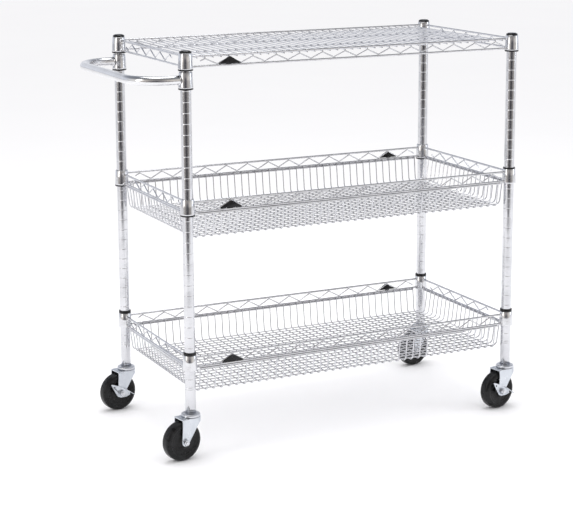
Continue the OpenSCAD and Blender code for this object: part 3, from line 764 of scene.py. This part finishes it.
for tier in ("middle", "bottom"):
    base = tier_at[tier]
    cross_z = box_centre(tier + "_floor_cross_wires")[2]
    long_z = box_centre(tier + "_floor_long_wires")[2]
    reach_y = half_y - WALL_INSET
    reach_x = half_x - WALL_INSET
    cross = as_piece(
        tier + "_basket_cross_rods",
        [
            wires(
                [
                    (cross_start, mid_y - reach_y, base + WALL_TOP),
                    (cross_start, mid_y - reach_y + WALL_LEAN, cross_z),
                    (cross_start, mid_y + reach_y - WALL_LEAN, cross_z),
                    (cross_start, mid_y + reach_y, base + WALL_TOP),
                ],
                FLOOR_WIRE, wire_chrome,
                bend=WALL_BEND, count=CROSS_COUNT, pitch=(WIRE_PITCH, 0, 0),
            )
        ],
        wire_chrome,
    )
    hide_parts(tier + "_floor_cross_wires", tier + "_long_walls")
    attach(cross, "frame")
    along = as_piece(
        tier + "_basket_long_rods",
        [
            wires(
                [
                    (mid_x - reach_x, long_start, base + WALL_TOP),
                    (mid_x - reach_x + WALL_LEAN, long_start, long_z),
                    (mid_x + reach_x - WALL_LEAN, long_start, long_z),
                    (mid_x + reach_x, long_start, base + WALL_TOP),
                ],
                FLOOR_WIRE, wire_chrome,
                bend=WALL_BEND, count=LONG_COUNT, pitch=(0, WIRE_PITCH, 0),
            )
        ],
        wire_chrome,
    )
    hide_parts(tier + "_floor_long_wires", tier + "_end_walls")
    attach(along, "frame")
    rim_z = box_centre(tier + "_basket_rims")[2]
    x_end = (CROSS_COUNT - 1) / 2 * WIRE_PITCH + FLOOR_WIRE
    y_end = (LONG_COUNT - 1) / 2 * WIRE_PITCH + FLOOR_WIRE
    second = as_piece(
        tier + "_second_rim_rods",
        [
            wires(
                [(mid_x - x_end, mid_y - half_y, rim_z), (mid_x + x_end, mid_y - half_y, rim_z)],
                BASKET_RIM_WIRE, wire_chrome, count=2, pitch=(0, 2 * half_y, 0), sides=14,
            ),
            wires(
                [(mid_x - half_x, mid_y - y_end, rim_z), (mid_x - half_x, mid_y + y_end, rim_z)],
                BASKET_RIM_WIRE, wire_chrome, count=2, pitch=(2 * half_x, 0, 0), sides=14,
            ),
        ],
        wire_chrome,
    )
    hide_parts(tier + "_basket_rims")
    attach(second, "frame")

# ---- Badges ----
# Blank black plastic plates, triangular with rounded corners, clipped over a truss peak of each long side.
# They are moulded like the caps and catch a soft highlight along their bevelled edges.

SAME_POINT = 2e-6
FLAT_DEG = 1.0
FOLD_DEG = 60
FOLD_LEVEL = 0.02 * MM
FOLD_LENGTH = 12 * MM
BADGE_EDGE = 0.5 * MM


def sharp_edges(bm, angle):
    return [e for e in bm.edges if len(e.link_faces) == 2 and e.calc_face_angle(0) > math.radians(angle)]


def round_edges(bm, edges, width, segments):
    bmesh.ops.bevel(
        bm, geom=edges, offset=width, offset_type="OFFSET", segments=segments,
        profile=0.5, affect="EDGES", clamp_overlap=True,
    )


def from_cad(node, bevel, segments=2, angle=30, fold=0.0):
    """A merged copy of a CAD node's mesh, its sharp edges rounded and its long top edges folded wider."""
    bm = bmesh.new()
    bm.from_mesh(frame["nodes"][node].data)
    bmesh.ops.remove_doubles(bm, verts=bm.verts, dist=SAME_POINT)
    bmesh.ops.dissolve_limit(bm, angle_limit=math.radians(FLAT_DEG), verts=bm.verts, edges=bm.edges)
    if fold:
        top = max(v.co.z for v in bm.verts) - FOLD_LEVEL
        folds = [
            e for e in sharp_edges(bm, FOLD_DEG)
            if all(v.co.z > top for v in e.verts) and e.calc_length() > FOLD_LENGTH
        ]
        round_edges(bm, folds, fold, 4)
    round_edges(bm, sharp_edges(bm, angle), bevel, segments)
    mesh = bpy.data.meshes.new(node + "_copy")
    bm.to_mesh(mesh)
    bm.free()
    return mesh


badges = as_piece("blank_badges", [from_cad("badge_plates", BADGE_EDGE, 3)], black_plastic, sharp=30)
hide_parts("badge_plates")
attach(badges, "frame")

# ---- Push handle ----
# A chromed steel tube bent at two corners, whose ends are welded to collars like the shelves' own. The bends
# and hands leave its plating softer and more hazy than the posts'.

HANDLE_TUBE = 21.3 * MM
HANDLE_BEND = 84 * MM
HANDLE_LAP = 1.2 * MM
HANDLE_BEAD_SET = 0.9 * MM
HANDLE_BEAD_LAP = 0.2 * MM
HANDLE_BEAD_SPREAD = 1.4 * MM
HANDLE_BEAD_LENGTH = 2 * MM
handle_low, handle_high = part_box("handle_bar")
handle_z = (handle_low[2] + handle_high[2]) / 2
handle_x = handle_low[0] + HANDLE_TUBE / 2
handle_chrome = plated_material(
    "chrome_handle", (0.78, 0.785, 0.80), (0.72, 0.72, 0.735), 0.09, 0.24,
    (1.0, 0.05, 1.0), 900.0, 0.00001, 18.0,
)
end_x = post_at["front_left"][0] - collar_radius(handle_z - tier_at["handle"]) + HANDLE_LAP
handle_parts = [
    wires(
        [
            (end_x, mid_y - half_y, handle_z),
            (handle_x, mid_y - half_y, handle_z),
            (handle_x, mid_y + half_y, handle_z),
            (end_x, mid_y + half_y, handle_z),
        ],
        HANDLE_TUBE, handle_chrome, bend=HANDLE_BEND, sides=32, steps=24,
    )
]
handle = as_piece("push_handle_tube", handle_parts, handle_chrome)
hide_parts("handle_bar")
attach(handle, "frame")

handle_rings = as_piece(
    "handle_corner_rings",
    [collar_mesh(corner, tier_at["handle"]) for corner in ("front_left", "back_left")]
    + [
        weld_ring(
            (end_x - HANDLE_BEAD_SET, mid_y + side * half_y, handle_z), (-1, 0, 0),
            HANDLE_TUBE / 2 - HANDLE_BEAD_LAP, HANDLE_TUBE / 2 + HANDLE_BEAD_SPREAD, HANDLE_BEAD_LENGTH,
            sides=36,
        )
        for side in (-1, 1)
    ],
    collar_chrome,
    sharp=50,
)
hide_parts("handle_collars")
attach(handle_rings, "frame")

# ---- Caster stems and swivel heads ----
# Each caster has a threaded stem held in the foot of its post and a pressed zinc plated cup over a ring of
# steel balls. A riveted kingpin holds the cup and the fork together and lets the fork turn.


def zinc_material(name, clean, dull, rough_low, rough_high):
    """Bright zinc plate: bluish, with cloudy passivation and fine press marks."""
    material, nodes, links, shader, place = start_material(name)
    shader.inputs["Metallic"].default_value = 1.0
    cloud = use_group(nodes, links, patch_mask, place, Size=45.0, Threshold=0.52, Softness=0.3)
    marks = use_group(nodes, links, drawn_lines, place, Along=(1.0, 1.0, 0.4), Fineness=1500.0)
    links.new(blend_colours(nodes, links, cloud, clean, dull), shader.inputs["Base Color"])
    links.new(blend_values(nodes, links, cloud, rough_low, rough_high), shader.inputs["Roughness"])
    bump_from(nodes, links, shader, marks, 0.000008)
    return material


FORK_SHEET = 2.5 * MM
zinc = zinc_material("zinc_plate", (0.68, 0.715, 0.76), (0.60, 0.63, 0.68), 0.24, 0.38)
zinc_head = zinc_material("zinc_head", (0.70, 0.715, 0.75), (0.62, 0.635, 0.67), 0.24, 0.36)

CUP_FOOT = post_foot - 5 * MM
PLATE_TOP = CUP_FOOT - 1 * MM
PLATE_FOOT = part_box("front_left_fork")[1][2] - FORK_SHEET
RACE_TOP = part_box("swivel_balls")[1][2] + WELD_GAP
CUP_RADIUS = 23 * MM
CUP_HEIGHT = 6.6 * MM
CUP_ROUND = 2.8 * MM
CUP_SEAT = 15.5 * MM
STEM_RADIUS = 5.5 * MM
STEM_LENGTH = 32 * MM
STEM_CHAMFER = 1.5 * MM
KINGPIN_HEAD = 10 * MM
KINGPIN_RADIUS = 6 * MM
SWIVEL_GAP = 0.3 * MM
HEAD_SIDES = 56


def quarter_round(across, up, radius, steps):
    """Points round a quarter circle centred at (across, up), from its side to its top."""
    turns = [math.radians(90 * k / steps) for k in range(steps + 1)]
    return [(across + radius * math.cos(a), up + radius * math.sin(a)) for a in turns]


def head_outline():
    """(radius, height) of the riveted kingpin, the ball race, the cup with its rolled edge, and the stem."""
    pin_foot = PLATE_FOOT - SWIVEL_GAP
    points = [
        (0.0, pin_foot - 2.6 * MM),
        (7.0 * MM, pin_foot - 2.6 * MM),
        (8.6 * MM, pin_foot - 2.2 * MM),
        (9.6 * MM, pin_foot - 1.4 * MM),
        (KINGPIN_HEAD, pin_foot - 0.8 * MM),
        (KINGPIN_HEAD, pin_foot),
        (KINGPIN_RADIUS, pin_foot),
        (KINGPIN_RADIUS, PLATE_TOP + SWIVEL_GAP),
        (14.5 * MM, PLATE_TOP + 1.0 * MM),
        (14.5 * MM, RACE_TOP),
        (19.5 * MM, RACE_TOP),
        (19.5 * MM, CUP_FOOT + 0.2 * MM),
        (19.7 * MM, CUP_FOOT),
        (CUP_RADIUS - 0.3 * MM, CUP_FOOT),
        (CUP_RADIUS, CUP_FOOT + 0.3 * MM),
    ]
    points += quarter_round(CUP_RADIUS - CUP_ROUND, CUP_FOOT + CUP_HEIGHT - CUP_ROUND, CUP_ROUND, 8)
    points += [
        (17.4 * MM, CUP_FOOT + CUP_HEIGHT),
        (16.6 * MM, CUP_FOOT + 6.4 * MM),
        (15.9 * MM, CUP_FOOT + 5.7 * MM),
        (CUP_SEAT, CUP_FOOT + 5.0 * MM),
        (CUP_SEAT, post_foot - WELD_GAP),
        (STEM_RADIUS, post_foot - WELD_GAP),
        (STEM_RADIUS, post_foot + STEM_LENGTH - STEM_CHAMFER),
        (STEM_RADIUS - STEM_CHAMFER, post_foot + STEM_LENGTH),
        (0.0, post_foot + STEM_LENGTH),
    ]
    return points


heads = as_piece(
    "swivel_heads",
    [solid_of_revolution(head_outline(), HEAD_SIDES, post_at[corner]) for corner in corner_names],
    zinc_head,
    sharp=50,
)
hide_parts("caster_stems")
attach(heads, "frame")
for node in ("swivel_balls", "post_inserts"):
    plain = frame["nodes"][node]
    plain.data.materials.clear()
    plain.data.materials.append(zinc_head)

# ---- Forks, axles, bolts and nuts ----
# Each fork is one piece of zinc plated sheet, blanked and folded into a top plate with two legs and a skirt
# round its nose. A spacer tube holds the legs apart and a bolt with a nut clamps them on it.

FORK_EDGE = 0.4 * MM
FORK_FOLD = 1.9 * MM
BOLT_EDGE = 0.3 * MM
NUT_EDGE = 0.2 * MM

for corner in corner_names:
    body = corner + "_swivel"
    folded = from_cad(corner + "_fork", FORK_EDGE, angle=50, fold=FORK_FOLD)
    fork = as_piece(corner + "_pressed_fork", [folded], zinc, sharp=30)
    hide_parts(corner + "_fork")
    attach(fork, body)
    headed = from_cad(corner + "_axle_bolt", BOLT_EDGE, angle=40)
    bolt = as_piece(corner + "_hex_bolt", [headed], zinc_head, sharp=30)
    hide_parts(corner + "_axle_bolt")
    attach(bolt, body)
    tapped = from_cad(corner + "_axle_nut", NUT_EDGE, angle=40)
    nut = as_piece(corner + "_hex_nut", [tapped], zinc_head, sharp=30)
    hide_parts(corner + "_axle_nut")
    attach(nut, body)
    tube = frame["nodes"][corner + "_axle_tube"]
    tube.data.materials.clear()
    tube.data.materials.append(zinc_head)

# ---- Wheels ----
# Solid black rubber wheels moulded in one piece, with rounded shoulders, stepped rings on each face and a
# hub boss. The tread is scuffed and a little grey from the floor.

WHEEL_RADIUS = 48 * MM
WHEEL_HALF_WIDTH = 15 * MM
TREAD_ROUND = 9 * MM
WHEEL_SIDES = 72
# Hub boss, recessed web and stepped ring of each face: (radius, how far proud of the width), in millimetres
WHEEL_FACE = (
    (6.05, 1.7), (13.6, 1.7), (14.6, 1.2), (15.0, 0.2), (16.4, -1.4), (18.0, -2.0), (29.6, -2.0),
    (30.2, -1.7), (30.6, -1.05), (31.2, -1.0), (35.8, -1.0), (36.4, -0.6), (36.8, -0.1), (37.4, 0.0),
)


def moulded_rubber():
    """Black rubber: matt fine grain, greyer scuffs and dust."""
    material, nodes, links, shader, place = start_material("moulded_rubber")
    dust = use_group(nodes, links, patch_mask, place, Size=70.0, Threshold=0.56, Softness=0.18)
    grain = use_group(nodes, links, drawn_lines, place, Along=(1.0, 1.0, 1.0), Fineness=1300.0)
    tone = blend_colours(nodes, links, dust, (0.006, 0.006, 0.0065), (0.018, 0.018, 0.019))
    links.new(tone, shader.inputs["Base Color"])
    links.new(blend_values(nodes, links, dust, 0.26, 0.42), shader.inputs["Roughness"])
    shader.inputs["Specular IOR Level"].default_value = 0.22
    bump_from(nodes, links, shader, grain, 0.00006)
    return material


rubber = moulded_rubber()


def wheel_outline():
    """(radius, across) points from bore to tread and back, with a rounded shoulder on each side."""
    half = [(radius * MM, WHEEL_HALF_WIDTH + out * MM) for radius, out in WHEEL_FACE]
    shoulder = quarter_round(WHEEL_RADIUS - TREAD_ROUND, WHEEL_HALF_WIDTH - TREAD_ROUND, TREAD_ROUND, 7)
    half += reversed(shoulder)
    half.append((WHEEL_RADIUS, 0.0))
    return half + [(r, -across) for r, across in reversed(half[:-1])]


joint_of = {joint["name"]: joint for joint in frame["joints"]}


def axle_place(corner):
    """The wheel's centre and the direction of its axle, from the CAD wheel's box and the spin joint."""
    joint = joint_of[corner + "_wheel_spin"]
    return Vector(box_centre(corner + "_wheel")), Vector(joint["axis"]).normalized()


for corner in corner_names:
    centre, axle = axle_place(corner)
    turn = Vector((0, 0, 1)).rotation_difference(axle).to_matrix().to_4x4()
    wheel = as_piece(
        corner + "_rubber_wheel",
        [solid_of_revolution(wheel_outline(), WHEEL_SIDES, (0.0, 0.0))],
        rubber,
        sharp=40,
        turn=Matrix.Translation(centre) @ turn,
    )
    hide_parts(corner + "_wheel")
    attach(wheel, corner + "_rolling")

# ---- Brake levers ----
# A pressed zinc lever hangs on the axle of two of the casters, outside the fork leg and under the nut. Its
# flanged dish ends in a foot pedal, and a tooth bent in from it stands close to the tread.

LEVER_EDGE = 0.3 * MM

for corner in ("front_right", "back_left"):
    pressed = from_cad(corner + "_brake_lever", LEVER_EDGE, angle=40)
    lever = as_piece(corner + "_pressed_brake", [pressed], zinc, sharp=30)
    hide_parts(corner + "_brake_lever")
    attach(lever, corner + "_brake")

# ---- Studio ----
# A pale floor, soft light from above and a camera at standing height. The surroundings are bright at the
# sides and dark in a narrow band behind the camera, which is what the chrome shows.

FLOOR_NEAR = 2.3
FLOOR_FAR = 14.0
FLOOR_SIDE = 9.0
TOWARD_CAMERA = (-0.439, -0.899, 0.0)


def floor_mesh():
    mesh = bpy.data.meshes.new("floor")
    toward = Vector(TOWARD_CAMERA)
    side = Vector((-toward.y, toward.x, 0.0)) * FLOOR_SIDE
    near, far = toward * FLOOR_NEAR, -toward * FLOOR_FAR
    corners = [near - side, near + side, far + side, far - side]
    mesh.from_pydata([(p.x, p.y, 0.0) for p in corners], [], [(0, 1, 2, 3)])
    return mesh


floor = bpy.data.objects.new("studio_floor", floor_mesh())
bpy.context.scene.collection.objects.link(floor)
floor_material, floor_nodes, floor_links, floor_shader, floor_place = start_material("studio_floor")
floor_grain = use_group(
    floor_nodes, floor_links, patch_mask, floor_place, Size=1.5, Threshold=0.5, Softness=0.3
)
floor_tone = blend_colours(floor_nodes, floor_links, floor_grain, (0.97, 0.965, 0.98), (0.96, 0.955, 0.972))
floor_links.new(floor_tone, floor_shader.inputs["Base Color"])
floor_shader.inputs["Roughness"].default_value = 1.0
floor_shader.inputs["Specular IOR Level"].default_value = 0.0
floor.data.materials.append(floor_material)

world = bpy.data.worlds.new("studio")
bpy.context.scene.world = world
world.use_nodes = True
wn, wl = world.node_tree.nodes, world.node_tree.links
wn.clear()
world_out = wn.new("ShaderNodeOutputWorld")
path = wn.new("ShaderNodeLightPath")
direction = wn.new("ShaderNodeTexCoord")


def sky_ramp(value, stops):
    """Colours over a value that runs from -1 to 1."""
    spread = wn.new("ShaderNodeMapRange")
    spread.inputs["From Min"].default_value = -1.0
    spread.inputs["From Max"].default_value = 1.0
    ramp = wn.new("ShaderNodeValToRGB")
    wl.new(value, spread.inputs["Value"])
    wl.new(spread.outputs["Result"], ramp.inputs["Fac"])
    elements = ramp.color_ramp.elements
    while len(elements) < len(stops):
        elements.new(0.5)
    for element, (position, colour) in zip(elements, stops):
        element.position = position
        element.color = (*colour, 1.0)
    return ramp.outputs["Color"]


def sky_dot(vector):
    dot = wn.new("ShaderNodeVectorMath")
    dot.operation = "DOT_PRODUCT"
    dot.inputs[1].default_value = vector
    wl.new(direction.outputs["Generated"], dot.inputs[0])
    return dot.outputs["Value"]


# Round the compass: bright behind the cart and at the sides, dark toward the camera
around = sky_ramp(
    sky_dot(TOWARD_CAMERA),
    [
        (0.0, (0.90, 0.92, 0.97)),
        (0.30, (0.80, 0.83, 0.92)),
        (0.5, (0.78, 0.79, 0.83)),
        (0.66, (0.98, 0.96, 0.93)),
        (0.82, (0.86, 0.81, 0.75)),
        (0.92, (0.66, 0.61, 0.57)),
        (0.965, (0.36, 0.34, 0.34)),
        (1.0, (0.10, 0.10, 0.11)),
    ],
)
# By height: a dim ceiling and an unlit floor beyond the pale one
upward = sky_ramp(
    sky_dot((0.0, 0.0, 1.0)),
    [
        (0.0, (0.35, 0.35, 0.36)),
        (0.46, (0.45, 0.45, 0.46)),
        (0.5, (1.0, 1.0, 1.0)),
        (0.66, (0.9, 0.9, 0.9)),
        (0.80, (0.35, 0.36, 0.38)),
        (1.0, (0.22, 0.23, 0.25)),
    ],
)
shade = wn.new("ShaderNodeMix")
shade.data_type = "RGBA"
shade.blend_type = "MULTIPLY"
shade.inputs["Factor"].default_value = 1.0
wl.new(around, shade.inputs["A"])
wl.new(upward, shade.inputs["B"])
mirrored = wn.new("ShaderNodeBackground")
mirrored.inputs["Strength"].default_value = 1.0
wl.new(shade.outputs["Result"], mirrored.inputs["Color"])
even = wn.new("ShaderNodeBackground")
even.inputs["Strength"].default_value = 1.2
glossy_or_not = wn.new("ShaderNodeMixShader")
wl.new(path.outputs["Is Glossy Ray"], glossy_or_not.inputs[0])
wl.new(even.outputs[0], glossy_or_not.inputs[1])
wl.new(mirrored.outputs[0], glossy_or_not.inputs[2])
wl.new(glossy_or_not.outputs[0], world_out.inputs["Surface"])


def soft_light(name, at, target, size, power, colour=(1, 1, 1)):
    data = bpy.data.lights.new(name, "AREA")
    data.shape = "RECTANGLE"
    data.size, data.size_y = size
    data.energy = power
    data.color = colour
    lamp = bpy.data.objects.new(name, data)
    lamp.location = at
    lamp.rotation_euler = (Vector(target) - Vector(at)).to_track_quat("-Z", "Y").to_euler()
    bpy.context.scene.collection.objects.link(lamp)


soft_light("overhead", (0.0, 0.3, 3.4), (0.0, 0.0, 0.3), (2.0, 1.6), 40)
soft_light("left_window", (-3.2, -0.6, 1.7), (0.0, 0.0, 0.5), (0.7, 2.2), 14, (1.0, 0.97, 0.93))
soft_light("right_window", (3.0, -1.6, 1.6), (0.0, 0.0, 0.5), (0.7, 2.2), 12, (0.93, 0.96, 1.0))

camera_data = bpy.data.cameras.new("camera")
camera_data.sensor_fit = "HORIZONTAL"
camera_data.sensor_width = 36.0
camera_data.lens = 105.07
camera_data.shift_y = -0.1
camera_data.clip_end = 100.0
camera = bpy.data.objects.new("camera", camera_data)
camera.location = (-1.9143 + mid_x, -3.741 + mid_y, 1.3818)
yaw, pitch, roll = math.radians(-26.09), math.radians(11.03), math.radians(-0.21)
level = Matrix.Rotation(yaw, 4, "Z") @ Matrix.Rotation(math.radians(90) - pitch, 4, "X")
camera.rotation_euler = (level @ Matrix.Rotation(roll, 4, "Z")).to_euler()
bpy.context.scene.collection.objects.link(camera)
bpy.context.scene.camera = camera
bpy.context.scene.view_settings.view_transform = "Standard"
